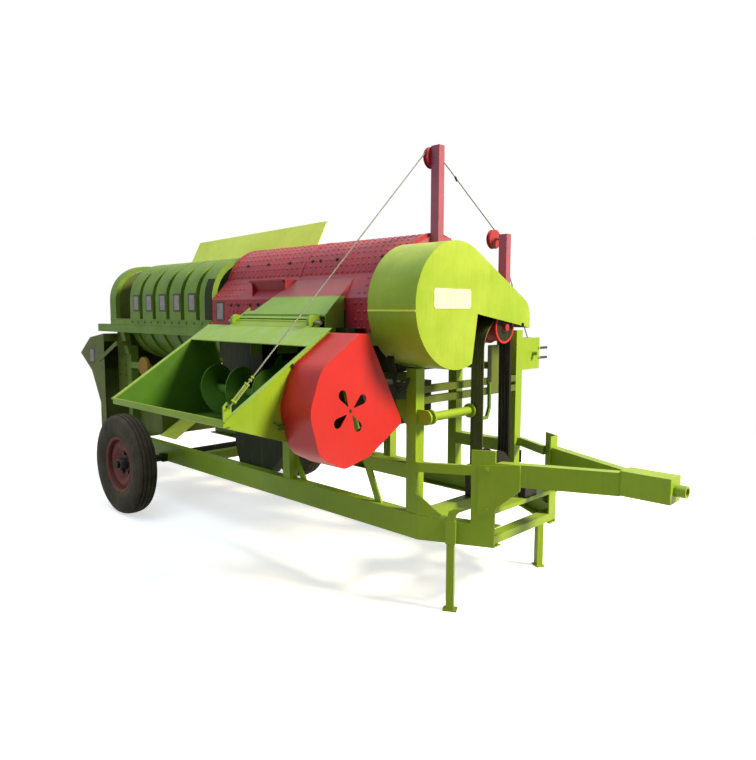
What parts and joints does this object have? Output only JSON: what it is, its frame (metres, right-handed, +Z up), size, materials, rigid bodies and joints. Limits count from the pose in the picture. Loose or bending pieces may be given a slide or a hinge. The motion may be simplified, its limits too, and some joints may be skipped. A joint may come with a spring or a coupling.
{
  "type": "trailed multicrop thresher",
  "caption": "Two-wheeled trailed grain thresher: green frame, red drum housing, slatted straw cage, fold-up side feed tray with auger, belt drive, masts with lifting rope and drawbar",
  "frame": {"origin": "middle of the bounding box in X and Y, on the ground", "axes": "+X forward to the hitch, +Y to the left of the machine, +Z up"},
  "size_m": [4.927, 2.3151, 2.352],
  "materials": {
    "green_paint": "satin lime green paint",
    "red_paint": "satin red paint",
    "wheel_paint": "worn red paint",
    "tyre_rubber": "matte",
    "belt_rubber": "matte",
    "cast_iron": "oiled",
    "bare_steel": "dull",
    "ochre_paint": "dusty"
  },
  "bodies": {
    "chassis": {"axle": "green_paint", "bearings": "cast_iron", "belt_guard": "green_paint", "braces": "green_paint", "concave": "green_paint", "cross_members": "green_paint", "drawbar_arms": "green_paint", "drum_housing": "red_paint", "fan_casings": "green_paint", "feed_hood": "green_paint", "feed_sill": "green_paint", "floor_beams": "green_paint", "grain_pan": "green_paint", "grain_spout": "green_paint", "gusset_plates": "green_paint", "hinge_rod": "bare_steel", "hitch_head": "green_paint", "lift_rope": "bare_steel", "long_belts": "belt_rubber", "lower_housing": "green_paint", "lower_rails": "green_paint", "masts": "red_paint", "mid_rails": "green_paint", "posts": "green_paint", "rear_wall": "green_paint", "rib_cage": "green_paint", "roller": "green_paint", "shaker_arm": "green_paint", "shaker_box": "green_paint", "sheave_pins": "bare_steel", "sheaves": "bare_steel", "short_belts": "belt_rubber", "side_beams": "green_paint", "side_panels": "green_paint", "stand_sleeves": "green_paint", "straw_hood": "green_paint", "top_deflector": "green_paint", "winch": "green_paint"},
    "right_wheel": {"tyre_right": "tyre_rubber", "wheel_right": "wheel_paint"},
    "left_wheel": {"tyre_left": "tyre_rubber", "wheel_left": "wheel_paint"},
    "feeder": {"feed_tray": "green_paint", "auger_guard": "red_paint"},
    "auger": {"auger": "green_paint"},
    "drum_rotor": {"drum_pulley": "cast_iron"},
    "idler": {"jack_pulley": "red_paint"},
    "input_drive": {"input_pulley": "cast_iron"},
    "shaker_drive": {"shaker_pulley": "ochre_paint"},
    "right_stand": {"stand_right": "green_paint"},
    "left_stand": {"stand_left": "green_paint"}
  },
  "joints": [
    {"name": "right_wheel_spin", "type": "hinge", "parent": "chassis", "child": "right_wheel", "pos_m": [-1.2385, -0.5235, 0.368], "axis": [0, 1, 0], "continuous": true},
    {"name": "left_wheel_spin", "type": "hinge", "parent": "chassis", "child": "left_wheel", "pos_m": [-1.2385, 1.0765, 0.368], "axis": [0, 1, 0], "continuous": true},
    {"name": "feeder_fold", "type": "hinge", "parent": "chassis", "child": "feeder", "pos_m": [0.5255, -0.5085, 1.432], "axis": [-1, 0, 0], "range_deg": [0, 75], "deforming": ["lift_rope"]},
    {"name": "auger_spin", "type": "hinge", "parent": "feeder", "child": "auger", "pos_m": [0.5255, -0.6085, 1.044], "axis": [1, 0, 0], "continuous": true},
    {"name": "drum_spin", "type": "hinge", "parent": "chassis", "child": "drum_rotor", "pos_m": [1.2775, 0.0565, 1.505], "axis": [1, 0, 0], "continuous": true},
    {"name": "idler_spin", "type": "hinge", "parent": "chassis", "child": "idler", "pos_m": [1.3935, 0.3645, 1.405], "axis": [1, 0, 0], "continuous": true},
    {"name": "input_spin", "type": "hinge", "parent": "chassis", "child": "input_drive", "pos_m": [1.3935, 0.3255, 0.6], "axis": [1, 0, 0], "continuous": true},
    {"name": "shaker_spin", "type": "hinge", "parent": "chassis", "child": "shaker_drive", "pos_m": [-1.5135, -0.2045, 1.05], "axis": [0, 1, 0], "continuous": true},
    {"name": "right_stand_slide", "type": "slide", "parent": "chassis", "child": "right_stand", "axis": [0, 0, 1], "range_m": [0, 0.28]},
    {"name": "left_stand_slide", "type": "slide", "parent": "chassis", "child": "left_stand", "axis": [0, 0, 1], "range_m": [0, 0.28]}
  ]
}
